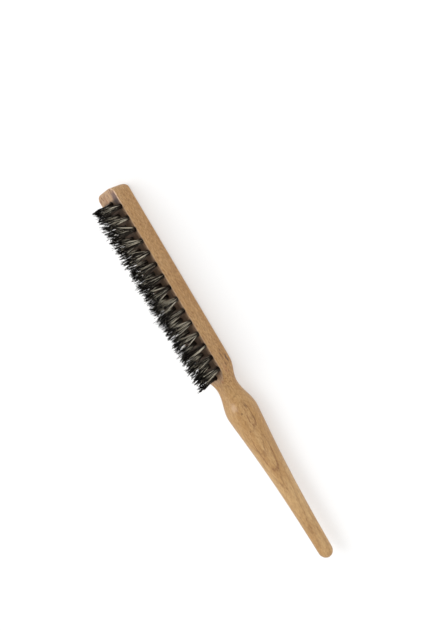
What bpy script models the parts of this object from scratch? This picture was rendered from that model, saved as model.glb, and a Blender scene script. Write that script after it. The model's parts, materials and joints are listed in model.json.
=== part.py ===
"""Wooden tail brush: a beech body, planed at the head and turned at the handle, with three rows of tufts.

Metres, +Z up. The brush lies on its back, so the bristles point up along +Z. The head's tip points
to +X and the tail to -X. The origin is under the middle of the brush, on the surface it lies on.
Stations along the brush are distances from the head's tip.
"""

import math

import bmesh
import bpy
from mathutils import Vector

# Whole brush
TOTAL_LENGTH = 0.230
AXIS_HEIGHT = 0.0089  # the handle's axis above the surface that the back and the bulb lie on

# Head: a planed bar with a flat face for the bristles and a rounded back
HEAD_WIDTH = 0.0132
FACE_ABOVE_AXIS = 0.0053
FACE_EDGE_ROUND = 0.0005
BACK_ROUND_AT_TIP = 0.0024
BACK_ROUND_AT_SHOULDER = 0.0038
TIP_ROUND = 0.0033
RUN_OUT_START = 0.1165  # where the planed faces start to curve out into the turned neck
RUN_OUT_RADIUS = 0.028
BLANK_HALF = 0.0105  # half the square blank that the handle is turned from
BLANK_OVERHANG = 0.002

# Handle: turned, so it is given by radii
TURNED_HEAD_RADIUS = 0.012
TURNED_HEAD_END = 0.098
SHOULDER_START = 0.108
SHOULDER_RADIUS = 0.0099
NECK = 0.1233
NECK_RADIUS = 0.0060
BULB = 0.139
BULB_RADIUS = AXIS_HEIGHT
TAIL_RADIUS = 0.0035
TAPER_LENGTH = 0.0439
TAPER_POWER = 1.2
TAIL_ROUND = 0.0045

# Tufts: a middle row, and an outer row on each side with one tuft fewer, half a pitch along
PITCH = 0.0072
OUTER_TUFTS = 15
FIRST_OUTER_TUFT = 0.0114
OUTER_ROW_OFFSET = 0.0048
HOLE_RADIUS = 0.00135
HOLE_DEPTH = 0.0070
TUFT_ROOT_RADIUS = 0.00105
TUFT_TIP_RADIUS = 0.0015
TUFT_ROOT_DEPTH = 0.0056
MIDDLE_BRISTLE = 0.0150
OUTER_BRISTLE = 0.0128
TIPS_CLOSE_IN = 0.0026  # how far the outer tufts' tips bend towards the middle row
CLOSE_IN_POWER = 1.5
HOLE_LEANS = (math.radians(2.5), math.radians(-4.0))  # the first holes lean to the tip, the last to the tail
BRISTLE_LEANS = (math.radians(4.0), math.radians(-5.5))  # and the bristles above the face lean further
MIDDLE_ROW_NUDGE = 0.0007  # how far the middle tufts' tips are pushed to the tail

# Facets and tolerances
QUARTER_TURN = math.pi / 2
TURNING_STEPS = 36
SHOULDER_STEPS = 8
TAPER_STEPS = 17
ROUND_STEPS = 5
CORNER_STEPS = 4
HOLE_SIDES = 12
RUN_OUT_STEPS = 6
TUFT_SIDES = 10
TUFT_RING_SHARES = (0.0, 0.5, 1.0)  # where a tuft's rings lie along its length above the face
SHARPEST_SMOOTH_EDGE = math.radians(40)
AXIS_MERGE_DISTANCE = 0.00001


def clear_scene():
    for obj in list(bpy.data.objects):
        bpy.data.objects.remove(obj, do_unlink=True)


def new_collection(name, hidden=False):
    collection = bpy.data.collections.new(name)
    bpy.context.scene.collection.children.link(collection)
    collection.hide_render = hidden
    return collection


def new_material(name, colour, roughness, metallic=0.0):
    material = bpy.data.materials.new(name)
    material.use_nodes = True
    shader = material.node_tree.nodes["Principled BSDF"]
    shader.inputs["Base Color"].default_value = (*colour, 1.0)
    shader.inputs["Roughness"].default_value = roughness
    shader.inputs["Metallic"].default_value = metallic
    return material


def x_at(station):
    return TOTAL_LENGTH / 2 - station


def blend(share):
    """A smooth step: 0 to 1 with level ends."""
    return (1 - math.cos(math.pi * share)) / 2


def mix(start, end, share):
    return start + (end - start) * share


def loft(name, rings, collection):
    """A closed solid through rings of corners, all with the same count."""
    body = bmesh.new()
    loops = [[body.verts.new(corner) for corner in ring] for ring in rings]
    for lower, upper in zip(loops, loops[1:]):
        for i in range(len(lower)):
            following = (i + 1) % len(lower)
            body.faces.new((lower[i], lower[following], upper[following], upper[i]))
    body.faces.new(loops[0])
    body.faces.new(loops[-1])
    bmesh.ops.recalc_face_normals(body, faces=body.faces)
    mesh = bpy.data.meshes.new(name)
    body.to_mesh(mesh)
    body.free()
    obj = bpy.data.objects.new(name, mesh)
    collection.objects.link(obj)
    return obj


def as_cutter(obj):
    obj.hide_render = True
    obj.display_type = "WIRE"
    return obj


def bar_section(station, half_width, face, back, back_round):
    """One ring of the blank: small rounds beside the face, large ones beside the back."""
    corners = (
        (half_width, face, FACE_EDGE_ROUND),
        (-half_width, face, FACE_EDGE_ROUND),
        (-half_width, -back, back_round),
        (half_width, -back, back_round),
    )
    ring = []
    for corner, (y, z, radius) in enumerate(corners):
        centre_y = y - math.copysign(radius, y)
        centre_z = z - math.copysign(radius, z)
        for step in range(CORNER_STEPS + 1):
            angle = QUARTER_TURN * (corner + step / CORNER_STEPS)
            ring.append(
                Vector((
                    x_at(station),
                    centre_y + radius * math.cos(angle),
                    AXIS_HEIGHT + centre_z + radius * math.sin(angle),
                ))
            )
    return ring


def head_section(station):
    """The planed head's ring at a station, drawn in where the tip is rounded."""
    past_round = max(0.0, TIP_ROUND - station)
    inset = TIP_ROUND - math.sqrt(TIP_ROUND**2 - past_round**2)
    past_edge = max(0.0, FACE_EDGE_ROUND - station)
    face_inset = FACE_EDGE_ROUND - math.sqrt(FACE_EDGE_ROUND**2 - past_edge**2)
    back_round = mix(BACK_ROUND_AT_TIP, BACK_ROUND_AT_SHOULDER, station / RUN_OUT_START)
    return bar_section(
        station,
        HEAD_WIDTH / 2 - inset,
        FACE_ABOVE_AXIS - face_inset,
        AXIS_HEIGHT - inset,
        back_round,
    )


def run_out_section(along):
    """The blank's ring at a distance past the start of the run-out, where its faces curve outwards."""
    lift = along**2 / (2 * RUN_OUT_RADIUS)
    sides = [min(side + lift, BLANK_HALF) for side in (HEAD_WIDTH / 2, FACE_ABOVE_AXIS, AXIS_HEIGHT)]
    return bar_section(RUN_OUT_START + along, *sides, BACK_ROUND_AT_SHOULDER)


def planed_blank(collection):
    """The planed bar of the head, which widens at the run-out to the square blank of the handle."""
    rings = []
    for i in range(ROUND_STEPS + 1):
        rings.append(head_section(TIP_ROUND * (1 - math.cos(QUARTER_TURN * i / ROUND_STEPS))))
    run_out_length = math.sqrt(2 * RUN_OUT_RADIUS * (BLANK_HALF - FACE_ABOVE_AXIS))
    for i in range(RUN_OUT_STEPS + 1):
        rings.append(run_out_section(run_out_length * i / RUN_OUT_STEPS))
    rings.append(run_out_section(TOTAL_LENGTH + BLANK_OVERHANG - RUN_OUT_START))
    return as_cutter(loft("planed_blank", rings, collection))


def handle_radius(station):
    """The turned radius from the bulb to the start of the rounded tail end."""
    along = (station - BULB) / TAPER_LENGTH
    return TAIL_RADIUS + (BULB_RADIUS - TAIL_RADIUS) * math.exp(-(along**TAPER_POWER))


def turned_profile():
    """(station, radius) from the tip to the tail's end."""
    profile = [(-BLANK_OVERHANG, 0.0), (-BLANK_OVERHANG, TURNED_HEAD_RADIUS)]
    profile.append((TURNED_HEAD_END, TURNED_HEAD_RADIUS))
    for i in range(SHOULDER_STEPS):
        share = i / SHOULDER_STEPS
        profile.append((mix(SHOULDER_START, NECK, share), mix(SHOULDER_RADIUS, NECK_RADIUS, blend(share))))
    for i in range(SHOULDER_STEPS):
        share = i / SHOULDER_STEPS
        profile.append((mix(NECK, BULB, share), mix(NECK_RADIUS, BULB_RADIUS, blend(share))))
    round_start = TOTAL_LENGTH - TAIL_ROUND
    for i in range(TAPER_STEPS):
        station = mix(BULB, round_start, i / TAPER_STEPS)
        profile.append((station, handle_radius(station)))
    for i in range(ROUND_STEPS + 1):
        angle = QUARTER_TURN * i / ROUND_STEPS
        radius = handle_radius(round_start) * math.cos(angle)
        profile.append((round_start + TAIL_ROUND * math.sin(angle), radius if i < ROUND_STEPS else 0.0))
    return profile


def turned_body(name, collection):
    """The whole length turned on the lathe, before the head is planed."""
    mesh = bpy.data.meshes.new(name)
    points = [(radius, 0.0, x_at(station)) for station, radius in turned_profile()]
    mesh.from_pydata(points, [(i, i + 1) for i in range(len(points) - 1)], [])
    obj = bpy.data.objects.new(name, mesh)
    collection.objects.link(obj)
    obj.location = (0.0, 0.0, AXIS_HEIGHT)
    obj.rotation_euler = (0.0, QUARTER_TURN, 0.0)
    screw = obj.modifiers.new("turning", "SCREW")
    screw.axis = "Z"
    screw.steps = TURNING_STEPS
    screw.render_steps = TURNING_STEPS
    screw.use_merge_vertices = True
    screw.merge_threshold = AXIS_MERGE_DISTANCE
    screw.use_smooth_shade = True
    return obj


def add_boolean(obj, name, operation):
    boolean = obj.modifiers.new(name, "BOOLEAN")
    boolean.operation = operation
    boolean.solver = "EXACT"
    return boolean


def tuft_places():
    """(name, station, row side) of every tuft, row by row from the tip."""
    places = []
    for i in range(OUTER_TUFTS):
        places.append((f"tuft_right_{i + 1:02d}", FIRST_OUTER_TUFT + i * PITCH, -1))
    for i in range(OUTER_TUFTS + 1):
        places.append((f"tuft_middle_{i + 1:02d}", FIRST_OUTER_TUFT + (i - 0.5) * PITCH, 0))
    for i in range(OUTER_TUFTS):
        places.append((f"tuft_left_{i + 1:02d}", FIRST_OUTER_TUFT + i * PITCH, 1))
    return places


def lean_at(station, leans):
    first = FIRST_OUTER_TUFT - PITCH / 2
    return mix(*leans, (station - first) / (OUTER_TUFTS * PITCH))


def tuft_centre(station, side, height):
    """A point on a tuft's own line, at a height above the face, or below it inside the hole."""
    length = OUTER_BRISTLE if side else MIDDLE_BRISTLE
    share = max(0.0, height) / length
    lean = lean_at(station, BRISTLE_LEANS if height > 0 else HOLE_LEANS)
    nudge = 0.0 if side else MIDDLE_ROW_NUDGE * share
    return Vector((
        x_at(station) + height * math.tan(lean) - nudge,
        side * (OUTER_ROW_OFFSET - TIPS_CLOSE_IN * share**CLOSE_IN_POWER),
        AXIS_HEIGHT + FACE_ABOVE_AXIS + height,
    ))


def circle(centre, radius, sides):
    angles = [2 * math.pi * i / sides for i in range(sides)]
    return [centre + Vector((radius * math.cos(a), radius * math.sin(a), 0.0)) for a in angles]


def tuft_hole(name, station, side, collection):
    """The blind hole's cutter, along the straight root of the tuft."""
    floor = tuft_centre(station, side, -HOLE_DEPTH)
    mouth = tuft_centre(station, side, 0.0)
    above = mouth + (mouth - floor) / 2
    rings = [circle(centre, HOLE_RADIUS, HOLE_SIDES) for centre in (floor, above)]
    return as_cutter(loft(name, rings, collection))


def tuft(name, station, side, collection, material):
    """One bunch of bristles: straight in its hole, flaring above the face."""
    length = OUTER_BRISTLE if side else MIDDLE_BRISTLE
    rings = [circle(tuft_centre(station, side, -TUFT_ROOT_DEPTH), TUFT_ROOT_RADIUS, TUFT_SIDES)]
    for share in TUFT_RING_SHARES:
        radius = mix(TUFT_ROOT_RADIUS, TUFT_TIP_RADIUS, share)
        rings.append(circle(tuft_centre(station, side, share * length), radius, TUFT_SIDES))
    obj = loft(name, rings, collection)
    obj.data.materials.append(material)
    smooth(obj)
    return obj


def smooth(obj):
    obj.data.shade_smooth()
    obj.data.set_sharp_from_angle(angle=SHARPEST_SMOOTH_EDGE)


def main():
    clear_scene()
    brush = new_collection("tail_brush")
    cutters = new_collection("cutters", hidden=True)
    holes = new_collection("hole_cutters", hidden=True)

    beech = new_material("beech", (0.40, 0.235, 0.10), 0.55)
    bristle = new_material("mixed_bristle", (0.035, 0.028, 0.022), 0.45)

    body = turned_body("wood_body", brush)
    body.data.materials.append(beech)
    add_boolean(body, "planing", "INTERSECT").object = planed_blank(cutters)

    for name, station, side in tuft_places():
        tuft(name, station, side, brush, bristle)
        tuft_hole(name.replace("tuft", "hole"), station, side, holes)
    drilling = add_boolean(body, "drilling", "DIFFERENCE")
    drilling.operand_type = "COLLECTION"
    drilling.collection = holes


main()
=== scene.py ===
"""Looks of the wooden tail brush: an oiled beech body, three rows of mixed bristle and the wire anchors.

Metres. The brush lies on its back with the bristles up along +Z, and the head's tip points to +X.
Stations are distances from the head's tip. A roll is an angle round the handle's axis, from +Z
towards the right-hand row of tufts.
"""

import json
import math

import bmesh
import bpy
import numpy as np
from mathutils import Matrix, Vector

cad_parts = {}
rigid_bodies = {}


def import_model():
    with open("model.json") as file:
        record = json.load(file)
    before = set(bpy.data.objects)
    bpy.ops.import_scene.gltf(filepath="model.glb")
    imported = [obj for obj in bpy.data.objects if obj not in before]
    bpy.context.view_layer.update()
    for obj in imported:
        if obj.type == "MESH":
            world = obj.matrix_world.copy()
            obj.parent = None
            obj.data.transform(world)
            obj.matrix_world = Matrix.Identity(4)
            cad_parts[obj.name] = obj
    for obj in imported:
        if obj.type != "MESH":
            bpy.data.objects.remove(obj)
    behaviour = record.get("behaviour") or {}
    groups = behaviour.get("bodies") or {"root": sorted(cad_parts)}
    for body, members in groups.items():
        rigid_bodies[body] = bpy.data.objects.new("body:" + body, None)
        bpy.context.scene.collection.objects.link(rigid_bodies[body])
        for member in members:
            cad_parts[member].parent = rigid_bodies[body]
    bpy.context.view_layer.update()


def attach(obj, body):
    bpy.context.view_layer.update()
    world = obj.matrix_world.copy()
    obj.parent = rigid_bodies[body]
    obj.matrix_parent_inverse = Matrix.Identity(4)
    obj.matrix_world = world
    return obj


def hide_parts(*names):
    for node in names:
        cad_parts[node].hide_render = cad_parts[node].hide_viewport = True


TINY = 1e-9
MM = 1000  # the finishes are worked out in millimetres
GOLDEN_ANGLE = math.pi * (3 - math.sqrt(5))

# The body's own measures, the same as the frame's
TOTAL_LENGTH = 0.230
AXIS_HEIGHT = 0.0089
HEAD_WIDTH = 0.0132
FACE_ABOVE_AXIS = 0.0053
FACE_EDGE_ROUND = 0.0005
BACK_ROUND_AT_TIP = 0.0024
BACK_ROUND_AT_SHOULDER = 0.0038
TIP_ROUND = 0.0033
RUN_OUT_START = 0.1165
RUN_OUT_RADIUS = 0.028
BLANK_HALF = 0.0105
TURNED_HEAD_RADIUS = 0.012
TURNED_HEAD_END = 0.098
SHOULDER_START = 0.108
SHOULDER_RADIUS = 0.0099
NECK = 0.1233
NECK_RADIUS = 0.0060
BULB = 0.139
BULB_RADIUS = AXIS_HEIGHT
TAIL_RADIUS = 0.0035
TAPER_LENGTH = 0.0439
TAPER_POWER = 1.2
TAIL_ROUND = 0.0045

# Tufts
PITCH = 0.0072
OUTER_TUFTS = 15
FIRST_OUTER_TUFT = 0.0114
OUTER_ROW_OFFSET = 0.0048
HOLE_RADIUS = 0.00135
HOLE_DEPTH = 0.0070
MIDDLE_BRISTLE = 0.0150
OUTER_BRISTLE = 0.0128
TIPS_CLOSE_IN = 0.0026
CLOSE_IN_POWER = 1.5
HOLE_LEANS = (math.radians(2.5), math.radians(-4.0))
BRISTLE_LEANS = (math.radians(4.0), math.radians(-5.5))
MIDDLE_ROW_NUDGE = 0.0007

# The fine surface of the wood
RING_SPACING = 0.0005
BAR_RING_SPACING = 0.002
FINE_PAST_BULB = 0.012  # how far past the bulb the rings stay close
ROUND_RINGS = 13
END_RING_SHARES = (0.2, 0.4, 0.6, 0.8)  # rings on the flat end, as shares of its outline
RING_CORNERS = 208
ARRIS_CROWDING = 5  # how much closer the corners stand at an arris than elsewhere
ARRIS_CROWDING_WIDTH = 0.07  # radians
ANGLE_STEPS = 4001  # in which the crowding is worked out
ARRIS_SOFTNESS = 0.0009  # how softly the planed faces meet the turned ones
HOLE_SIDES = 40
HOLE_CHAMFER = 0.00016
HOLE_FINISH_BELOW_FACE = 0.00005
HOLE_FINISH_WITHIN_SIDE = 0.0002
SHARP_ANGLE = math.radians(38)
WELD_DISTANCE = 0.000001

# Strands: each bristle is folded double in its hole, so it has two legs
LEG_PLACES = 88  # in a hole: 45 on one side of the anchor's middle and 43 on the other, so 43 folds
STRAND_SIDES = 5
LEG_RINGS = 8
BEND_RINGS = 3
LEG_DEPTH = 0.0052  # how deep in the hole the legs start
BEND_DROP = 0.0011  # how far a fold hangs below its legs
STRAND_RADIUS = 0.000116
STRAND_RADIUS_SHARES = (0.85, 1.15)
STRAND_TIP_SHRINK = 0.28
STRAND_WAVE = 0.00010
STRAND_WAVE_TURN = 5.2  # radians from one end of a leg to the other
TUFT_ROOT_RADIUS = 0.00105
TUFT_TIP_RADIUS = 0.0015
TUFT_FILLED = 0.96  # the share of a tuft's radius that its strands' middles reach
TUFT_SPREAD_POWER = 0.7
LOCKS = 26
LOCK_PULL = 0.2  # how far a strand is drawn to the middle of its lock
LOCK_SPLAY = (0.00115, 0.00065)
LOCK_FLARE = 0.00080
STRAND_SPLAY = 0.00020
WILD_SHARE, WILD_SPLAY = 0.06, 3.5  # strands that splay more than the others, and how many times more
TIPS_FROM, TIPS_TO = 0.0082, 0.1176  # stations that the strands' tips are turned back from
TURN_BACK = 1.3  # by how many times the length that is past them

# How much lengths vary, as shares
TUFT_LENGTH_SPREAD = 0.02
LOCK_LENGTH_SPREAD = (-0.03, 0.035)  # the middle of the spread, then its width
STRAND_LENGTH_SPREAD = 0.03

# Tones of the strands, by the side that their row is on
PALE_SHARE = {-1: 0.34, 0: 0.30, 1: 0.30}
DARK_TIP_FROM = {-1: 0.92, 0: 0.78, 1: 0.80}
DARK_TIP_SPREAD = 0.06
ODD_SHARE = 0.08  # bristles of the other tone than their lock's
PALE_TONES, DARK_TONES = (0.7, 1.0), (0.0, 0.06)
# (row side, station mm, tilt along, tilt across, share of the full length, pale) of strands that stand out
STRAY_STRANDS = (
    (0, 72.6, -0.0004, 0.0020, 1.19, False),
    (-1, 90.6, -0.0050, 0.0010, 0.95, True),
    (-1, 40.2, 0.0030, 0.0004, 0.95, True),
)

# Anchors
ANCHOR_HALF_THICKNESS = 0.00014
ANCHOR_HEIGHT = 0.0011
ANCHOR_WAIST = 0.82  # the height between the two ends, as a share
ANCHOR_ABOVE_FLOOR = 0.0010
ANCHOR_CLEARANCE = 0.00006  # from each end to the hole's wall
ANCHOR_CUT = (0.00035, 0.0004)  # the cut at each lower corner, along and up
ANCHOR_END = 0.0004
ANCHOR_EDGE = 0.00005

# View and studio
VIEW_TILT = math.radians(38.5)  # from straight above towards the right-hand row
VIEW_ROLL = math.radians(120.9)  # how far the brush is turned from level in the view
VIEW_CENTRE = Vector((0.0292, -0.0092, 0.0016))
VIEW_DISTANCE = 0.55
VIEW_NEAREST = 0.01
SENSOR = 36.0
LENS = 58.3
FLOOR_HALF = 3.0
FLOOR_GREY = (0.48, 0.48, 0.48, 1.0)
WHITE = (1.0, 1.0, 1.0, 1.0)
SURROUND_STRENGTH = 0.85


# ---------------------------------------------------------------- the brush's own measures


def x_at(station):
    return TOTAL_LENGTH / 2 - station


def blend(share):
    """A smooth step: 0 to 1 with level ends."""
    return (1 - np.cos(math.pi * np.clip(share, 0, 1))) / 2


def mix(start, end, share):
    return start + (end - start) * share


def soft_min(first, second, softness):
    """The smaller of two measures, rounded off where they cross."""
    near = np.maximum(softness - np.abs(first - second), 0) / softness
    return np.minimum(first, second) - near**2 * softness / 4


def turned_radius(station):
    """The radius that the lathe leaves at a station."""
    if station < TURNED_HEAD_END:
        return TURNED_HEAD_RADIUS
    if station < SHOULDER_START:
        share = (station - TURNED_HEAD_END) / (SHOULDER_START - TURNED_HEAD_END)
        return mix(TURNED_HEAD_RADIUS, SHOULDER_RADIUS, share)
    if station < NECK:
        return mix(SHOULDER_RADIUS, NECK_RADIUS, blend((station - SHOULDER_START) / (NECK - SHOULDER_START)))
    if station < BULB:
        return mix(NECK_RADIUS, BULB_RADIUS, blend((station - NECK) / (BULB - NECK)))
    round_start = TOTAL_LENGTH - TAIL_ROUND
    along = (min(station, round_start) - BULB) / TAPER_LENGTH
    radius = TAIL_RADIUS + (BULB_RADIUS - TAIL_RADIUS) * math.exp(-(along**TAPER_POWER))
    past = max(0.0, station - round_start) / TAIL_ROUND
    return radius * math.sqrt(max(0.0, 1 - past**2))


def bar_radius(angles, half_width, face, back, back_round):
    """Distances from the axis to a rounded bar's surface, in the directions of the angles."""
    across, up = np.abs(np.cos(angles)), np.sin(angles)
    height = np.where(up > 0, face, back)
    corner = np.where(up > 0, FACE_EDGE_ROUND, back_round)
    up = np.abs(up)
    flat = np.minimum(half_width / np.maximum(across, TINY), height / np.maximum(up, TINY))
    centre_y, centre_z = half_width - corner, height - corner
    towards = across * centre_y + up * centre_z
    left_over = towards**2 - centre_y**2 - centre_z**2 + corner**2
    rounded = towards + np.sqrt(np.maximum(left_over, 0))
    on_corner = (flat * across > centre_y) & (flat * up > centre_z)
    return np.where(on_corner, rounded, flat)


def body_ring(station, angles):
    """Distances from the axis to the finished body's surface at a station."""
    past_round = max(0.0, TIP_ROUND - station)
    inset = TIP_ROUND - math.sqrt(TIP_ROUND**2 - past_round**2)
    past_edge = max(0.0, FACE_EDGE_ROUND - station)
    face_inset = FACE_EDGE_ROUND - math.sqrt(FACE_EDGE_ROUND**2 - past_edge**2)
    lift = max(0.0, station - RUN_OUT_START) ** 2 / (2 * RUN_OUT_RADIUS)
    share = min(1.0, station / RUN_OUT_START)
    bar = bar_radius(
        angles,
        min(HEAD_WIDTH / 2 + lift, BLANK_HALF) - inset,
        min(FACE_ABOVE_AXIS + lift, BLANK_HALF) - face_inset,
        min(AXIS_HEIGHT + lift, BLANK_HALF) - inset,
        mix(BACK_ROUND_AT_TIP, BACK_ROUND_AT_SHOULDER, share),
    )
    return soft_min(bar, turned_radius(station), ARRIS_SOFTNESS)


def lean_at(station, leans):
    first = FIRST_OUTER_TUFT - PITCH / 2
    return mix(*leans, (station - first) / (OUTER_TUFTS * PITCH))


def tuft_centre(station, side, height):
    """A point on a tuft's own line, at a height above the face, or below it inside the hole."""
    length = OUTER_BRISTLE if side else MIDDLE_BRISTLE
    share = max(0.0, height) / length
    lean = lean_at(station, BRISTLE_LEANS if height > 0 else HOLE_LEANS)
    nudge = 0.0 if side else MIDDLE_ROW_NUDGE * share
    return Vector((
        x_at(station) + height * math.tan(lean) - nudge,
        side * (OUTER_ROW_OFFSET - TIPS_CLOSE_IN * share**CLOSE_IN_POWER),
        AXIS_HEIGHT + FACE_ABOVE_AXIS + height,
    ))


def tuft_places():
    """(row, number, station, side) of every tuft, row by row from the tip."""
    places = []
    for row, side in (("right", -1), ("middle", 0), ("left", 1)):
        start = FIRST_OUTER_TUFT if side else FIRST_OUTER_TUFT - PITCH / 2
        count = OUTER_TUFTS if side else OUTER_TUFTS + 1
        for i in range(count):
            places.append((row, i + 1, start + i * PITCH, side))
    return places


# ---------------------------------------------------------------- finishes


class Wire:
    """One socket of a finish. Sums on it add the nodes that work them out."""

    def __init__(self, finish, socket):
        self.finish = finish
        self.socket = socket

    def maths(self, operation, *values, clamp=False):
        sockets = dict(enumerate(values))
        return self.finish.node("ShaderNodeMath", {"operation": operation, "use_clamp": clamp}, sockets)

    def __add__(self, other):
        return self.maths("ADD", self, other)

    def __radd__(self, other):
        return self.maths("ADD", other, self)

    def __sub__(self, other):
        return self.maths("SUBTRACT", self, other)

    def __rsub__(self, other):
        return self.maths("SUBTRACT", other, self)

    def __mul__(self, other):
        return self.maths("MULTIPLY", self, other)

    def __rmul__(self, other):
        return self.maths("MULTIPLY", other, self)

    def __truediv__(self, other):
        return self.maths("DIVIDE", self, other)

    def __rtruediv__(self, other):
        return self.maths("DIVIDE", other, self)

    def __pow__(self, other):
        return self.maths("POWER", self, other)

    def __rpow__(self, other):
        return self.maths("POWER", other, self)

    def absolute(self):
        return self.maths("ABSOLUTE", self)

    def root(self):
        return self.maths("SQRT", self)

    def fraction(self):
        return self.maths("FRACT", self)

    def sine(self):
        return self.maths("SINE", self)

    def cosine(self):
        return self.maths("COSINE", self)

    def angle_to(self, other):
        return self.maths("ARCTAN2", self, other)

    def most(self, other):
        return self.maths("MAXIMUM", self, other)

    def clamped(self):
        return self.maths("ADD", self, 0.0, clamp=True)

    def ramp(self, low, high):
        """0 below low to 1 above high, smoothly. With low above high it falls instead."""
        settings = {"interpolation_type": "SMOOTHSTEP"}
        sockets = {"Value": self, "From Min": low, "From Max": high}
        return self.finish.node("ShaderNodeMapRange", settings, sockets)


class Finish:
    """A material and its node tree."""

    def __init__(self, name):
        self.material = bpy.data.materials.new(name)
        self.material.use_nodes = True
        self.tree = self.material.node_tree
        self.shader = self.tree.nodes["Principled BSDF"]

    def node(self, kind, settings=None, sockets=None, output=0):
        """Any node: its settings come first, then the values or links of its sockets."""
        node = self.tree.nodes.new(kind)
        for name, value in (settings or {}).items():
            setattr(node, name, value)
        self.feed(node, sockets or {})
        return Wire(self, node.outputs[output])

    def feed(self, node, sockets):
        for name, value in sockets.items():
            if isinstance(value, Wire):
                self.tree.links.new(value.socket, node.inputs[name])
            else:
                node.inputs[name].default_value = value

    def coordinates(self):
        """(x, y, z) of a point in millimetres."""
        place = self.node("ShaderNodeTexCoord", output="Object")
        scaled = {"Vector": place, "Scale": MM}
        return self.parts(self.node("ShaderNodeVectorMath", {"operation": "SCALE"}, scaled))

    def parts(self, vector):
        axes = self.node("ShaderNodeSeparateXYZ", sockets={"Vector": vector})
        return [Wire(self, axes.socket.node.outputs[axis]) for axis in "XYZ"]

    def vector(self, x, y, z):
        return self.node("ShaderNodeCombineXYZ", sockets={"X": x, "Y": y, "Z": z})

    def noise(self, vector, detail=2.0, roughness=0.5):
        sockets = {"Vector": vector, "Scale": 1.0, "Detail": detail, "Roughness": roughness}
        return self.node("ShaderNodeTexNoise", {"noise_dimensions": "3D"}, sockets)

    def grain(self, x, y, z, lengthways, across, shift_y, shift_z, detail, roughness):
        """A noise drawn out along the wood."""
        place = self.vector(x * lengthways, y * across + shift_y, z * across + shift_z)
        return self.noise(place, detail, roughness)

    def cells(self, vector):
        """(how far a point is from the middle of its cell, a number that is the same all over the cell)"""
        settings = {"feature": "F1", "voronoi_dimensions": "3D"}
        distance = self.node("ShaderNodeTexVoronoi", settings, {"Vector": vector, "Randomness": 1.0})
        colour = Wire(self, distance.socket.node.outputs["Color"])
        return distance, self.parts(colour)[0]

    def blended(self, amount, under, over):
        """One colour laid over another by an amount."""
        return self.node("ShaderNodeMix", {"data_type": "RGBA"}, {0: amount, 6: under, 7: over}, output=2)

    def layered(self, colour, *layers):
        """A colour with others laid over it in turn, each given as (amount, colour)."""
        for amount, over in layers:
            colour = self.blended(amount, colour, over)
        return colour

    def bump(self, height, distance):
        return self.node("ShaderNodeBump", sockets={"Height": height, "Distance": distance, "Strength": 1.0})


def tint(red, green, blue):
    """A colour given as a paint chart would, in steps of 255, as a shader takes it."""
    steps = [step / 255 for step in (red, green, blue)]
    linear = [step / 12.92 if step < 0.04045 else ((step + 0.055) / 1.055) ** 2.4 for step in steps]
    return (*linear, 1.0)


PALE_BEECH = tint(208, 170, 116)
WARM_BEECH = tint(188, 146, 90)
RING_BROWN = tint(148, 103, 54)
FLECK_BROWN = tint(100, 60, 26)
CUT_FACE = tint(184, 154, 132)
MARK_BROWN = tint(92, 56, 26)
MARK_RED = tint(160, 96, 54)
PALE_MARK_AND_HIGHLIGHT = tint(226, 192, 160)
DARK_STRIP_PURPLE = tint(104, 80, 78)
# Painted shade in the holes and at the strands' roots; on the face round the roots it also stands for dust
ROOT_SHADE = tint(34, 22, 15)
SIDE_BEECH = tint(168, 121, 58)
DAPPLE_BROWN = tint(128, 82, 38)
DASH_BROWN = tint(120, 72, 28)
RING_LINE = tint(118, 68, 28)

# (station mm, roll degrees, half length mm, half width mm, strength) of marks in this piece of wood, of a
# painted highlight and of a darker strip
BROWN_MARKS = (
    (109.4, 120.0, 2.8, 0.60, 0.95),
    (106.3, 98.0, 1.5, 0.55, 0.80),
    (104.0, 109.0, 1.3, 0.40, 0.60),
    (108.6, 101.0, 1.2, 0.45, 0.60),
    (111.8, 96.0, 1.6, 0.45, 0.75),
    (114.6, 112.0, 1.3, 0.40, 0.50),
    (123.2, 41.0, 0.9, 0.50, 0.35),
    (129.3, 42.0, 0.5, 0.80, 0.35),
    (136.7, 58.0, 1.6, 0.80, 0.46),
    (139.2, 33.0, 0.9, 0.55, 0.66),
    (143.0, 63.0, 2.6, 0.45, 0.50),
    (146.6, 38.0, 1.5, 0.40, 0.25),
    (149.5, 26.0, 0.8, 0.40, 0.50),
    (185.8, 30.0, 0.8, 0.30, 0.50),
    (131.0, -118.0, 1.0, 0.50, 0.50),
    (158.0, -150.0, 1.4, 0.35, 0.50),
)
RED_MARKS = (
    (119.2, 28.0, 1.0, 0.80, 0.45),
    (3.9, -14.0, 2.6, 0.30, 0.45),
    (114.0, 75.0, 3.0, 1.40, 0.30),
    (196.0, -95.0, 2.2, 0.50, 0.40),
)
PALE_MARKS_AND_HIGHLIGHT = (
    # The first is a painted highlight on the bulb's lit side, the second a pale patch
    (134.6, 18.0, 2.6, 1.90, 0.40),
    (143.0, -60.0, 3.5, 1.20, 0.40),
)
# A darker purple-grey strip on the face beside the near arris at the tip
TIP_DARK_STRIP = (6.2, 43.0, 4.8, 1.35, 0.80)
# The same of the ovals where turning cuts one growth ring, and where along the oval its line fades out
RING_OVALS = (
    (141.4, 54.0, 6.2, 1.75, 1.00, -3.0),
    (140.5, -128.0, 7.0, 1.90, 0.60, -3.0),
    (157.5, 38.0, 16.5, 3.60, 0.90, -0.2),
    (166.0, -142.0, 12.0, 2.60, 0.70, -0.6),
)
OVAL_POWER = 2.5  # 2 would be an ellipse
OVAL_LINE = 0.52  # millimetres, the softness of an oval's rim
OVAL_HEART = (0.42, 0.40, 0.4)  # the ring inside it: its size, softness in millimetres and strength

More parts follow.
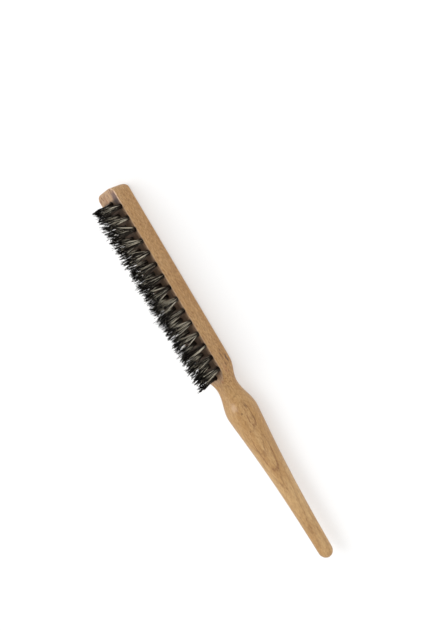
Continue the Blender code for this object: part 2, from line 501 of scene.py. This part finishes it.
# (lengthways, across, shift across, shift up, detail, roughness) of the patterns in the wood, per millimetre
BROAD = (0.035, 0.22, 0.0, 0.0, 3.0, 0.5)
WANDER = (0.06, 0.15, 7.0, 0.0, 2.0, 0.5)
WAVER = (0.5, 0.5, 0.0, 11.0, 2.0, 0.5)
MOTTLE = (0.34, 1.1, 5.0, 0.0, 3.0, 0.65)
FIBRE = (0.16, 4.2, 0.0, 0.0, 4.0, 0.65)
PORES = (0.7, 9.0, 0.0, 3.0, 2.0, 0.6)
DAPPLE = (0.42, 1.5, 0.0, 21.0, 2.0, 0.6)
DASHES = (0.55, 2.3, 0.0, 31.0, 2.0, 0.5)

RING_WIDTH = 1.26  # millimetres
HEART_DEPTH = 15.0  # millimetres from the axis to the tree's heart
RING_PHASE = 0.53
LAYER_ROLLS = (0.92, -0.52)  # radians: the growth layers' roll at the head, and its change to the tail

# (station mm where it is gone, station mm where it is full) of what changes along the brush
LAYERS_TURNED = (141.0, 156.0)
LIVELY_GRAIN = (132.0, 116.0)
PLANED_FACE = (121.0, 117.0)
PLANED_SIDES = (124.0, 104.0)
WARM_HEAD = (158.0, 142.0)
# Where the dust and painted shade round the roots fade in at the tip and out at the shoulder
FIRST_DUST_AND_SHADE, LAST_DUST_AND_SHADE = (5.4, 7.6), (118.0, 113.8)
FIRST_OUTER_DUST_AND_SHADE, LAST_OUTER_DUST_AND_SHADE = (8.0, 9.4), (115.2, 113.8)
# Where the painted highlight and handling wear along the face's edges fade out
EDGE_WEAR_AND_HIGHLIGHT_HEAD = (119.0, 112.0)
EDGE_WEAR_AND_HIGHLIGHT_TIP = (14.0, 7.0)
DUST_AND_SHADE_RING = (2.6, 1.3)  # the same of the distance from a root's middle, in millimetres


def oval_distance(along, roll, reach, oval):
    """How many oval sizes a point of the surface lies from an oval's centre."""
    station, centre_roll, half_length, half_width = oval[:4]
    lengthways = (along - station) / half_length
    turn = roll - math.radians(centre_roll)
    across = turn * reach / half_width
    return (lengthways.absolute() ** OVAL_POWER + across.absolute() ** OVAL_POWER) ** (1 / OVAL_POWER)


def patches(along, roll, reach, marks):
    """A mask of soft-edged marks."""
    total = None
    for mark in marks:
        patch = oval_distance(along, roll, reach, mark).ramp(1.25, 0.35) * mark[4]
        total = patch if total is None else total + patch
    return total.clamped()


def growth_rings(along, height, y, wander, waver):
    """How far a point is through its growth ring, from 0 to 1."""
    first_roll, change = LAYER_ROLLS
    # The layers turn a little along the handle, so turning leaves long U shapes
    layer_roll = along.ramp(*LAYERS_TURNED) * change + first_roll
    heart_y = y - layer_roll.sine() * HEART_DEPTH
    heart_z = height + layer_roll.cosine() * HEART_DEPTH
    layer = (heart_y * heart_y + heart_z * heart_z).root() - HEART_DEPTH
    return (layer / RING_WIDTH + RING_PHASE + (wander - 0.5) * 0.45 + (waver - 0.5) * 0.30).fraction()


def oval_figure(along, roll, reach, oval, mottle):
    """The broken line of a ring that turning has cut to an oval."""
    station, _, half_length, half_width, strength, fades_at = oval
    size = oval_distance(along, roll, reach, oval)
    heart_size, heart_line, heart_strength = OVAL_HEART
    rim = (size - 1.0).absolute().ramp(OVAL_LINE / half_width, 0.0)
    heart = (size - heart_size).absolute().ramp(heart_line / half_width, 0.0) * heart_strength
    broken = mottle.ramp(0.36, 0.60) * 0.75 + 0.25
    open_end = ((along - station) / half_length).ramp(fades_at - 0.5, fades_at + 0.3)
    return ((rim + heart) * broken * open_end * strength).clamped()


def dust_and_shade(along, y):
    """A mask of dust and glue round each root, with painted shade round the roots and over the face between
    the rows.
    """
    pitch = PITCH * MM
    tufts_on = (along - FIRST_OUTER_TUFT * MM) / pitch
    outer_step = ((tufts_on + 0.5).fraction() - 0.5) * pitch
    middle_step = ((tufts_on + 1.0).fraction() - 0.5) * pitch
    to_row = y.absolute() - OUTER_ROW_OFFSET * MM
    outer = (outer_step * outer_step + to_row * to_row).root().ramp(*DUST_AND_SHADE_RING)
    outer = outer * along.ramp(*FIRST_OUTER_DUST_AND_SHADE) * along.ramp(*LAST_OUTER_DUST_AND_SHADE)
    middle = (middle_step * middle_step + y * y).root().ramp(*DUST_AND_SHADE_RING)
    # Painted shade over the face within its arrises, darkest towards the middle row
    between = y.absolute().ramp(6.6, 5.9) * 0.50 + y.absolute().ramp(6.2, 3.6) * 0.40
    return outer.most(middle).most(between) * along.ramp(*FIRST_DUST_AND_SHADE) * along.ramp(*LAST_DUST_AND_SHADE)


def edge_wear_and_highlight(along, height, y, waver):
    """A mask of the face's edges: a painted highlight along them, partly where handling has rubbed them
    pale.
    """
    tip_round, half_head, face_height = TIP_ROUND * MM, HEAD_WIDTH / 2 * MM, FACE_ABOVE_AXIS * MM
    past_round = (tip_round - along).most(0.0)
    outline = (tip_round**2 - past_round * past_round).most(0.0).root() + (half_head - tip_round)
    near_side = (y.absolute() - outline).ramp(-0.80, -0.34)
    near_face = height.ramp(face_height - 0.42, face_height - 0.10)
    highlit_and_worn = near_side * near_face * along.ramp(*EDGE_WEAR_AND_HIGHLIGHT_HEAD) * (waver.ramp(0.30, 0.55) * 0.6 + 0.4)
    return highlit_and_worn * (along.ramp(*EDGE_WEAR_AND_HIGHLIGHT_TIP) * 0.62 + 0.38)


def beech(name, drilled=False):
    """Oiled beech: growth rings, fibre, the short brown flecks, marks, a painted highlight on the bulb, dust
    with painted shade round the roots, painted shade in the holes' finish, and a painted highlight on the
    face's edges, partly handling wear.
    """
    wood = Finish(name)
    x, y, z = wood.coordinates()
    height = z - AXIS_HEIGHT * MM
    along = TOTAL_LENGTH / 2 * MM - x
    reach = (y * y + height * height).root()
    roll = (y * -1.0).angle_to(height)
    patterns = (BROAD, WANDER, WAVER, MOTTLE, FIBRE, PORES, DAPPLE, DASHES)
    grains = [wood.grain(x, y, z, *pattern) for pattern in patterns]
    broad, wander, waver, mottle, fibre, pores, dapple, dashes = grains

    ring_place = growth_rings(along, height, y, wander, waver)
    late_wood = ring_place.ramp(0.30, 0.95) * ring_place.ramp(1.0, 0.96)
    ring_edge = ring_place.ramp(0.80, 0.92) * ring_place.ramp(1.0, 0.96) * mottle.ramp(0.26, 0.46)

    # Short brown flecks, a little apart, along the grain
    cell, chance = wood.cells(wood.vector(x * 0.36 + waver, y * 1.05, z * 1.05))
    flecks = cell.ramp(0.40, 0.20) * chance.ramp(0.25, 0.60)
    small_cell, small_chance = wood.cells(wood.vector(x * 0.8 + waver, y * 2.2, z * 2.2))
    small_flecks = small_cell.ramp(0.42, 0.18) * small_chance.ramp(0.35, 0.60)
    glints = small_cell.ramp(0.50, 0.20) * small_chance.ramp(0.40, 0.15)

    # The grain is lively on the head and quieter along the handle, and planed faces differ from turned ones
    lively = along.ramp(*LIVELY_GRAIN) * 0.62 + 0.38
    face_height, half_head = FACE_ABOVE_AXIS * MM, HEAD_WIDTH / 2 * MM
    face = height.ramp(face_height - 0.25, face_height - 0.05) * along.ramp(*PLANED_FACE)
    planed_side = y.absolute().ramp(half_head - 0.9, half_head - 0.2) * along.ramp(*PLANED_SIDES)
    colour = wood.layered(
        PALE_BEECH,
        (broad.ramp(0.36, 0.66), WARM_BEECH),
        (mottle.ramp(0.40, 0.62) * (lively * 0.5 + 0.5) * 0.44, RING_BROWN),
        (late_wood * 0.16, RING_BROWN),
        (ring_edge * 0.26, FLECK_BROWN),
        (fibre.ramp(0.42, 0.72) * 0.24, RING_BROWN),
        (glints * 0.45, PALE_BEECH),
        (flecks * lively * 0.66, FLECK_BROWN),
        (small_flecks * (lively * 0.6 + 0.4) * 0.50, FLECK_BROWN),
        (face * 0.62, CUT_FACE),
        (planed_side * 0.42, SIDE_BEECH),
        (along.ramp(*WARM_HEAD) * (1 - planed_side) * (1 - face) * 0.36, SIDE_BEECH),
        (dapple.ramp(0.46, 0.66) * lively * 0.34, DAPPLE_BROWN),
        (dashes.ramp(0.53, 0.65) * lively * 0.74, DASH_BROWN),
        (dashes.ramp(0.46, 0.34) * lively * 0.45, PALE_BEECH),
    )

    # The ovals and marks of this piece of wood with a painted highlight and a darker strip, then dust with
    # painted shade round the roots and a painted highlight on the face's edges, partly handling wear
    loose_along = along + (waver - 0.5) * 2.4
    loose_roll = roll + (broad - 0.5) * 0.25 + (waver - 0.5) * 0.12
    loose = (loose_along, loose_roll, reach)
    colour = wood.layered(
        colour,
        *[(oval_figure(*loose, oval, mottle) * 0.74, RING_LINE) for oval in RING_OVALS],
        (patches(*loose, BROWN_MARKS), MARK_BROWN),
        (patches(*loose, RED_MARKS), MARK_RED),
        # Pale patches, the first a painted highlight on the bulb
        (patches(*loose, PALE_MARKS_AND_HIGHLIGHT), PALE_MARK_AND_HIGHLIGHT),
        # The darker purple-grey strip beside the near arris at the tip
        (patches(*loose, (TIP_DARK_STRIP,)), DARK_STRIP_PURPLE),
        # Dust with painted shade round the roots and between the rows
        (dust_and_shade(along, y) * face * (0.72 + broad * 0.3), ROOT_SHADE),
        # A painted highlight along the face's edges, partly handling wear
        (edge_wear_and_highlight(along, height, y, waver), PALE_MARK_AND_HIGHLIGHT),
    )
    # Painted shade: the holes' walls and floors are darkened
    if drilled:
        colour = wood.blended(0.72, colour, ROOT_SHADE)

    roughness = fibre * 0.16 + flecks * 0.10 + broad * 0.12 + face * 0.10 + 0.30
    relief = fibre * 0.35 + pores * 0.35 - flecks * 0.45 - small_flecks * 0.25 - late_wood * 0.2
    wood.feed(
        wood.shader,
        {
            "Base Color": colour,
            "Roughness": roughness,
            "Normal": wood.bump(relief, 0.00009),
            "Coat Weight": 0.0 if drilled else (1 - face) * 0.12,
            "Coat Roughness": 0.34,
        },
    )
    return wood.material


BLACK_BRISTLE = tint(15, 12, 11)
BROWN_BRISTLE = tint(38, 28, 22)
CREAM_BRISTLE = tint(252, 244, 222)
GREY_BRISTLE = tint(204, 193, 170)
SOOTY_TIP = tint(14, 12, 12)


def bristle():
    """Mixed bristle: black and brown strands, and cream ones whose tips are dark, with painted shade at the
    roots.
    """
    hair = Finish("mixed_bristle")
    x, y, z = hair.coordinates()
    creamy, shade, share, dark_from = [
        hair.node("ShaderNodeAttribute", {"attribute_name": name}, output="Fac")
        for name in ("creamy", "shade", "share", "dark_from")
    ]
    streaks = hair.noise(hair.vector(x * 3.0, y * 3.0, z * 0.9))

    dark = hair.blended(shade, BLACK_BRISTLE, BROWN_BRISTLE)
    pale = hair.blended(shade, CREAM_BRISTLE, GREY_BRISTLE)
    pale = hair.blended(streaks.ramp(0.4, 0.75) * 0.35, pale, BROWN_BRISTLE)
    colour = hair.blended(creamy, dark, pale)
    tip = (share - dark_from + (streaks - 0.5) * 0.2).ramp(-0.07, 0.07)
    colour = hair.blended(tip * 0.94, colour, SOOTY_TIP)
    # Painted shade: the strands darken towards their roots, where they stand in the hole
    root = (share + (shade - 0.5) * 0.10).ramp(0.62, 0.48)
    colour = hair.blended(root * 0.88, colour, ROOT_SHADE)

    hair.feed(
        hair.shader,
        {
            "Base Color": colour,
            "Roughness": streaks * 0.25 + 0.36,
            "Normal": hair.bump(streaks, 0.00002),
            "Specular IOR Level": 0.05,
        },
    )
    return hair.material


def brass():
    """Drawn brass wire, dull in places."""
    metal = Finish("anchor_wire")
    x, y, z = metal.coordinates()
    drawn = metal.noise(metal.vector(x * 6.0, y * 0.8, z * 6.0), 3.0)
    dull = metal.noise(metal.vector(x * 1.5, y * 1.5, z * 1.5))
    colour = metal.blended(dull.ramp(0.4, 0.7), tint(204, 174, 104), tint(134, 106, 60))
    metal.feed(
        metal.shader,
        {
            "Base Color": colour,
            "Metallic": 1.0,
            "Roughness": drawn * 0.25 + 0.25,
            "Normal": metal.bump(drawn, 0.00001),
        },
    )
    return metal.material


def plain(name, colour, roughness, glow):
    finish = Finish(name)
    lit = {"Emission Color": WHITE, "Emission Strength": glow}
    finish.feed(finish.shader, {"Base Color": colour, "Roughness": roughness, **lit})
    return finish.material


# ---------------------------------------------------------------- shapes


def new_object(name, mesh):
    obj = bpy.data.objects.new(name, mesh)
    bpy.context.scene.collection.objects.link(obj)
    return obj


def mesh_from(name, points, faces):
    mesh = bpy.data.meshes.new(name)
    mesh.from_pydata([tuple(point) for point in points], [], faces)
    mesh.validate()
    return mesh


def tube_faces(rings, corners, first=0, closed_ends=True):
    """The faces of a skin over rings of corners that are numbered one after another."""
    faces = []
    for ring in range(rings - 1):
        lower = first + ring * corners
        for i in range(corners):
            following = (i + 1) % corners
            faces.append((lower + i, lower + following, lower + corners + following, lower + corners + i))
    if closed_ends:
        last = first + (rings - 1) * corners
        faces.append(tuple(range(first + corners - 1, first - 1, -1)))
        faces.append(tuple(range(last, last + corners)))
    return faces


def ring_angles():
    """Directions round the axis, closer together at the face's two arrises."""
    fine = np.linspace(0, 2 * math.pi, ANGLE_STEPS)
    arris = math.atan2(FACE_ABOVE_AXIS, HEAD_WIDTH / 2)
    near = [np.exp(-(((fine - middle) / ARRIS_CROWDING_WIDTH) ** 2)) for middle in (arris, math.pi - arris)]
    crowd = 1 + sum(ARRIS_CROWDING * part for part in near)
    travelled = np.concatenate([[0], np.cumsum((crowd[1:] + crowd[:-1]) / 2)])
    wanted = np.arange(RING_CORNERS) / RING_CORNERS * travelled[-1]
    return np.interp(wanted, travelled, fine)


def ring_stations():
    """Stations of the body's rings: close at the rounded ends and round the shoulder and bulb."""
    quarter = np.linspace(0, math.pi / 2, ROUND_RINGS)
    tip = TIP_ROUND * (1 - np.cos(quarter))
    edge = FACE_EDGE_ROUND * (1 - np.cos(quarter[1:-1]))
    bar = np.arange(TIP_ROUND + BAR_RING_SPACING, TURNED_HEAD_END, BAR_RING_SPACING)
    past_bulb = BULB + FINE_PAST_BULB
    shoulder = np.arange(TURNED_HEAD_END, past_bulb, RING_SPACING)
    taper = np.arange(past_bulb, TOTAL_LENGTH - TAIL_ROUND, 2 * RING_SPACING)
    tail = TOTAL_LENGTH - TAIL_ROUND + TAIL_ROUND * np.sin(quarter)
    return np.unique(np.round(np.concatenate([tip, edge, bar, shoulder, taper, tail]), 7))


def body_skin():
    """The finished body's surface before it is drilled."""
    angles = ring_angles()
    directions = np.stack([np.zeros_like(angles), np.cos(angles), np.sin(angles)], axis=1)
    rings = [(0.0, body_ring(0.0, angles) * share) for share in END_RING_SHARES]
    rings += [(station, body_ring(station, angles)) for station in ring_stations()[:-1]]
    points = []
    for station, reach in rings:
        centre = np.array([x_at(station), 0.0, AXIS_HEIGHT])
        points.extend(centre + directions * reach[:, None])
    faces = tube_faces(len(rings), RING_CORNERS, closed_ends=False)
    last = len(points) - RING_CORNERS
    points.append(Vector((x_at(0.0), 0.0, AXIS_HEIGHT)))
    points.append(Vector((x_at(TOTAL_LENGTH), 0.0, AXIS_HEIGHT)))
    for i in range(RING_CORNERS):
        following = (i + 1) % RING_CORNERS
        faces.append((following, i, len(points) - 2))
        faces.append((last + i, last + following, len(points) - 1))
    return mesh_from("beech_body", points, faces)


def hole_skins():
    """One cutter holding every tuft's hole, with a slight chamfer at each mouth."""
    points, faces = [], []
    turns = np.arange(HOLE_SIDES) * 2 * math.pi / HOLE_SIDES
    for *_, station, side in tuft_places():
        first = len(points)
        floor, mouth = tuft_centre(station, side, -HOLE_DEPTH), tuft_centre(station, side, 0.0)
        axis = (mouth - floor).normalized()
        chamfered = mouth - axis * HOLE_CHAMFER
        above = mouth + axis * 4 * HOLE_CHAMFER
        wide = HOLE_RADIUS + 5 * HOLE_CHAMFER
        for centre, radius in ((floor, HOLE_RADIUS), (chamfered, HOLE_RADIUS), (above, wide)):
            for turn in turns:
                points.append(centre + Vector((radius * math.cos(turn), radius * math.sin(turn), 0.0)))
        faces.extend(tube_faces(3, HOLE_SIDES, first))
    return mesh_from("hole_cutters", points, faces)


def in_a_hole(point):
    """Whether a point of the drilled body lies on a hole's wall or floor."""
    depth = point.z - AXIS_HEIGHT - FACE_ABOVE_AXIS
    for *_, station, side in tuft_places():
        near = abs(x_at(station) - point.x) < 2 * HOLE_RADIUS
        if near and (tuft_centre(station, side, depth) - point).length < HOLE_RADIUS + HOLE_CHAMFER:
            return True
    return False


def facing_out(mesh):
    shell = bmesh.new()
    shell.from_mesh(mesh)
    bmesh.ops.recalc_face_normals(shell, faces=shell.faces)
    shell.to_mesh(mesh)
    shell.free()
    return mesh


def welded(mesh):
    """Joins the corners that drilling leaves closer together than anything on the body."""
    shell = bmesh.new()
    shell.from_mesh(mesh)
    bmesh.ops.remove_doubles(shell, verts=shell.verts, dist=WELD_DISTANCE)
    shell.to_mesh(mesh)
    shell.free()
    return mesh


def drilled_body(finish, hole_finish):
    """The wooden body, drilled, with the holes' walls in their own finish, darkened there as painted shade.
    """
    blank = new_object("blank", facing_out(body_skin()))
    cutter = new_object("hole_cutters", facing_out(hole_skins()))
    drilling = blank.modifiers.new("drilling", "BOOLEAN")
    drilling.operation = "DIFFERENCE"
    drilling.solver = "EXACT"
    drilling.object = cutter
    graph = bpy.context.evaluated_depsgraph_get()
    mesh = welded(bpy.data.meshes.new_from_object(blank.evaluated_get(graph)))
    for spent in (blank, cutter):
        bpy.data.objects.remove(spent, do_unlink=True)
    mesh.name = "beech_body"
    mesh.materials.clear()
    mesh.materials.append(finish)
    mesh.materials.append(hole_finish)
    side = HEAD_WIDTH / 2 - HOLE_FINISH_WITHIN_SIDE
    top = AXIS_HEIGHT + FACE_ABOVE_AXIS - HOLE_FINISH_BELOW_FACE
    bottom = AXIS_HEIGHT + FACE_ABOVE_AXIS - HOLE_DEPTH - 2 * HOLE_CHAMFER
    for polygon in mesh.polygons:
        centre = polygon.center
        within = abs(centre.y) < side and bottom < centre.z < top
        polygon.material_index = int(within and in_a_hole(centre))
    mesh.shade_smooth()
    mesh.set_sharp_from_angle(angle=SHARP_ANGLE)
    return new_object("beech_body", mesh)


def leg_places(rng):
    """Pairs of places for the folded bristles' legs, one on each side of the anchor's middle."""
    places = []
    for i in range(LEG_PLACES):
        reach = math.sqrt((i + 0.5) / LEG_PLACES)
        angle = i * GOLDEN_ANGLE
        places.append((reach * math.cos(angle), reach * math.sin(angle)))
    front = sorted((p for p in places if p[0] > 0), key=lambda p: p[1])
    behind = sorted((p for p in places if p[0] <= 0), key=lambda p: p[1])
    pairs = list(zip(front, behind))
    rng.shuffle(pairs)
    return pairs


def leg_points(station, side, place, tilt, length, wave, phase):
    """A leg's points, from deep in the hole to its tip."""
    full = OUTER_BRISTLE if side else MIDDLE_BRISTLE
    points = []
    for share in np.linspace(0, 1, LEG_RINGS):
        height = mix(-LEG_DEPTH, length, share)
        above = max(0.0, height) / full
        spread = mix(TUFT_ROOT_RADIUS, TUFT_TIP_RADIUS, above**TUFT_SPREAD_POWER) * TUFT_FILLED
        centre = tuft_centre(station, side, height)
        sway = wave * math.sin(phase + share * STRAND_WAVE_TURN) * above
        offset = Vector((
            place[0] * spread + tilt[0] * above + sway,
            place[1] * spread + tilt[1] * above + sway * math.cos(phase),
            0.0,
        ))
        points.append(centre + offset)
    return points


def kept_within(tilt, tip):
    """A strand's tilt, turned back where its tip would pass the brush's first or last tips."""
    past_first = max(0.0, tip + tilt[0] - x_at(TIPS_FROM))
    past_last = max(0.0, x_at(TIPS_TO) - tip - tilt[0])
    return np.array((tilt[0] + TURN_BACK * (past_last - past_first), tilt[1]))


def folded_path(front, behind):
    """One bristle from its first tip, down to its fold in the hole and up to its other tip."""
    middle = (front[0] + behind[0]) / 2
    half = (front[0] - behind[0]) / 2
    bend = []
    for i in range(BEND_RINGS):
        angle = math.pi * (i + 1) / (BEND_RINGS + 1)
        drop = Vector((0.0, 0.0, -BEND_DROP * math.sin(angle)))
        bend.append(middle + half * math.cos(angle) + drop)
    return front[::-1] + bend + behind


def strand_rings(path, radius):
    """Rings of corners along a path. The rings shrink slightly at the two tips."""
    points = np.array([tuple(p) for p in path])
    ahead = np.gradient(points, axis=0)
    ahead /= np.linalg.norm(ahead, axis=1, keepdims=True)
    side = np.cross(ahead, np.array([0.0, 1.0, 0.0]))
    side /= np.maximum(np.linalg.norm(side, axis=1, keepdims=True), TINY)
    other = np.cross(ahead, side)
    turns = np.arange(STRAND_SIDES) * 2 * math.pi / STRAND_SIDES
    shares = np.linspace(-1, 1, len(points))
    radii = radius * (1 - STRAND_TIP_SHRINK * np.abs(shares) ** 3)
    corners = (
        points[:, None, :]
        + side[:, None, :] * (np.cos(turns)[None, :, None] * radii[:, None, None])
        + other[:, None, :] * (np.sin(turns)[None, :, None] * radii[:, None, None])
    )
    return corners.reshape(-1, 3)


def lay_map(mesh, strands, rings):
    """A map with one column for each strand, as wide as the others, and its length up the column."""
    places = np.zeros((len(mesh.loops), 2))
    vertices = np.zeros(len(mesh.loops), int)
    mesh.loops.foreach_get("vertex_index", vertices)
    ring, corner = np.divmod(vertices, STRAND_SIDES)
    strand, ring = np.divmod(ring, rings)
    width = 1.0 / strands
    around = (corner + 0.5) / STRAND_SIDES
    places[:, 0] = (strand + 0.1 + 0.8 * around) * width
    places[:, 1] = 0.02 + 0.96 * ring / (rings - 1)
    layer = mesh.uv_layers.new(name="OFBake")
    layer.data.foreach_set("uv", places.ravel())


def bristle_bunch(name, station, side, seed, finish):
    """One tuft: folded bristles in locks, each lock leaning its own way, some of them pale."""
    rng = np.random.default_rng(seed)
    full = OUTER_BRISTLE if side else MIDDLE_BRISTLE
    tuft_length = full * (1 + rng.normal(0, TUFT_LENGTH_SPREAD))
    turns = rng.uniform(0, 2 * math.pi) + np.arange(LOCKS) * GOLDEN_ANGLE
    reaches = np.sqrt((np.arange(LOCKS) + 0.5) / LOCKS)
    lock_places = np.stack([reaches * np.cos(turns), reaches * np.sin(turns)], axis=1)
    lock_tilts = rng.normal(0, 1, (LOCKS, 2)) * LOCK_SPLAY + lock_places * LOCK_FLARE
    lock_pale = rng.random(LOCKS) < PALE_SHARE[side]
    lock_lengths = 1 + rng.normal(*LOCK_LENGTH_SPREAD, LOCKS)
    strays = [stray[2:] for stray in STRAY_STRANDS if stray[:2] == (side, round(station * 1000, 1))]
    tones = {"creamy": [], "shade": [], "share": [], "dark_from": []}
    points, faces = [], []
    rings = 2 * LEG_RINGS + BEND_RINGS
    pairs = leg_places(rng)
    for pair in pairs:
        legs, pale_legs = [], []
        for place in pair:
            lock = int(np.argmin(np.hypot(*(lock_places - place).T)))
            pale = lock_pale[lock]
            wild = 1.0 if rng.random() > WILD_SHARE else WILD_SPLAY
            tilt = lock_tilts[lock] + rng.normal(0, STRAND_SPLAY, 2) * wild
            length = tuft_length * lock_lengths[lock] * (1 + rng.normal(0, STRAND_LENGTH_SPREAD))
            gathered = np.array(place) * (1 - LOCK_PULL) + lock_places[lock] * LOCK_PULL
            tip = tuft_centre(station, side, length).x + gathered[0] * TUFT_TIP_RADIUS
            tilt = kept_within(tilt, tip)
            if strays:
                tilt_along, tilt_across, longer, pale = strays.pop()
                tilt, length = (tilt_along, tilt_across), full * longer
            pale_legs.append(pale)
            wave, phase = rng.normal(0, STRAND_WAVE), rng.uniform(0, 2 * math.pi)
            legs.append(leg_points(station, side, gathered, tilt, length, wave, phase))
        radius = STRAND_RADIUS * rng.uniform(*STRAND_RADIUS_SHARES)
        points.extend(strand_rings(folded_path(*legs), radius))
        odd = rng.random() < ODD_SHARE
        for half, pale in enumerate(pale_legs):
            count = (rings + 1 - half) // 2 * STRAND_SIDES
            tone = rng.uniform(*(PALE_TONES if pale != odd else DARK_TONES))
            tones["creamy"].extend(np.full(count, tone))
            dark_from = DARK_TIP_FROM[side] + rng.normal(0, DARK_TIP_SPREAD)
            tones["dark_from"].extend(np.full(count, dark_from))
        tones["shade"].extend(np.full(rings * STRAND_SIDES, rng.uniform(0, 1)))
        tones["share"].extend(np.repeat(np.abs(np.linspace(-1, 1, rings)), STRAND_SIDES))
    for i in range(len(pairs)):
        faces.extend(tube_faces(rings, STRAND_SIDES, i * rings * STRAND_SIDES))
    mesh = mesh_from(name, points, faces)
    for attribute, values in tones.items():
        layer = mesh.attributes.new(attribute, "FLOAT", "POINT")
        layer.data.foreach_set("value", np.array(values, np.float32))
    lay_map(mesh, len(pairs), rings)
    mesh.shade_smooth()
    mesh.materials.append(finish)
    return new_object(name, facing_out(mesh))


def anchor(name, station, side, finish):
    """The strip of flat wire that holds a folded tuft down, its two ends raised close to the hole's wall."""
    half_length = HOLE_RADIUS - ANCHOR_CLEARANCE
    bottom = tuft_centre(station, side, -HOLE_DEPTH + ANCHOR_ABOVE_FLOOR)
    waist = ANCHOR_HEIGHT * ANCHOR_WAIST
    cut_along, cut_up = ANCHOR_CUT
    outline = (
        (-half_length, cut_up),
        (-half_length + cut_along, 0.0),
        (half_length - cut_along, 0.0),
        (half_length, cut_up),
        (half_length, ANCHOR_HEIGHT),
        (half_length - ANCHOR_END, waist),
        (-half_length + ANCHOR_END, waist),
        (-half_length, ANCHOR_HEIGHT),
    )
    points = []
    for offset in (-ANCHOR_HALF_THICKNESS, ANCHOR_HALF_THICKNESS):
        for across, up in outline:
            points.append(bottom + Vector((offset, across, up)))
    faces = tube_faces(2, len(outline))
    obj = new_object(name, facing_out(mesh_from(name, points, faces)))
    bevel = obj.modifiers.new("soft_edges", "BEVEL")
    bevel.width = ANCHOR_EDGE
    bevel.segments = 2
    obj.data.materials.append(finish)
    return obj


# ---------------------------------------------------------------- studio


def make_camera():
    data = bpy.data.cameras.new("camera")
    data.sensor_width = SENSOR
    data.lens = LENS
    data.clip_start = VIEW_NEAREST
    camera = new_object("camera", data)
    level_up = Vector((0.0, math.cos(VIEW_TILT), math.sin(VIEW_TILT)))
    level_right = Vector((1.0, 0.0, 0.0))
    back = Vector((0.0, -math.sin(VIEW_TILT), math.cos(VIEW_TILT)))
    right = level_right * math.cos(VIEW_ROLL) - level_up * math.sin(VIEW_ROLL)
    up = level_right * math.sin(VIEW_ROLL) + level_up * math.cos(VIEW_ROLL)
    turn = Matrix((right, up, back)).transposed().to_4x4()
    camera.matrix_world = Matrix.Translation(VIEW_CENTRE + back * VIEW_DISTANCE) @ turn
    bpy.context.scene.camera = camera


def soft_light(name, direction, distance, size, power):
    data = bpy.data.lights.new(name, "AREA")
    data.shape = "SQUARE"
    data.size = size
    data.energy = power
    light = new_object(name, data)
    towards = Vector(direction).normalized()
    light.location = towards * distance
    light.rotation_euler = towards.to_track_quat("Z", "Y").to_euler()


def make_studio():
    corners = [(x * FLOOR_HALF, y * FLOOR_HALF, 0.0) for x, y in ((-1, -1), (1, -1), (1, 1), (-1, 1))]
    floor = new_object("floor", mesh_from("floor", corners, [(0, 1, 2, 3)]))
    floor.data.materials.append(plain("floor_white", FLOOR_GREY, roughness=0.9, glow=0.50))
    soft_light("key_light", (0.51, 0.67, 1.10), distance=1.3, size=1.1, power=7.0)
    soft_light("fill_light", (-0.5, -0.8, 0.9), distance=1.5, size=1.6, power=2.4)
    world = bpy.data.worlds.new("studio")
    world.use_nodes = True
    surround = world.node_tree.nodes["Background"]
    surround.inputs["Color"].default_value = WHITE
    surround.inputs["Strength"].default_value = SURROUND_STRENGTH
    bpy.context.scene.world = world
    bpy.context.scene.view_settings.view_transform = "Standard"


# ---------------------------------------------------------------- the brush


def dress(obj, body, slot, *nodes):
    """Puts a piece on its body in place of the frame's nodes; the slot is not used."""
    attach(obj, body)
    if nodes:
        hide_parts(*nodes)


def main():
    for obj in list(bpy.data.objects):
        bpy.data.objects.remove(obj, do_unlink=True)
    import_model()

    wood = drilled_body(beech("beech"), beech("hole_wall_shaded_beech", drilled=True))
    dress(wood, "root", "beech", "wood_body")
    hair, wire = bristle(), brass()
    for seed, (row, number, station, side) in enumerate(tuft_places()):
        label = f"{row}_{number:02d}"
        bunch = bristle_bunch(f"bristles_{label}", station, side, seed, hair)
        dress(bunch, "root", "mixed_bristle", f"tuft_{label}")
        dress(anchor(f"anchor_{label}", station, side, wire), "root", "anchor_wire")

    make_studio()
    make_camera()

    bpy.context.view_layer.update()


main()
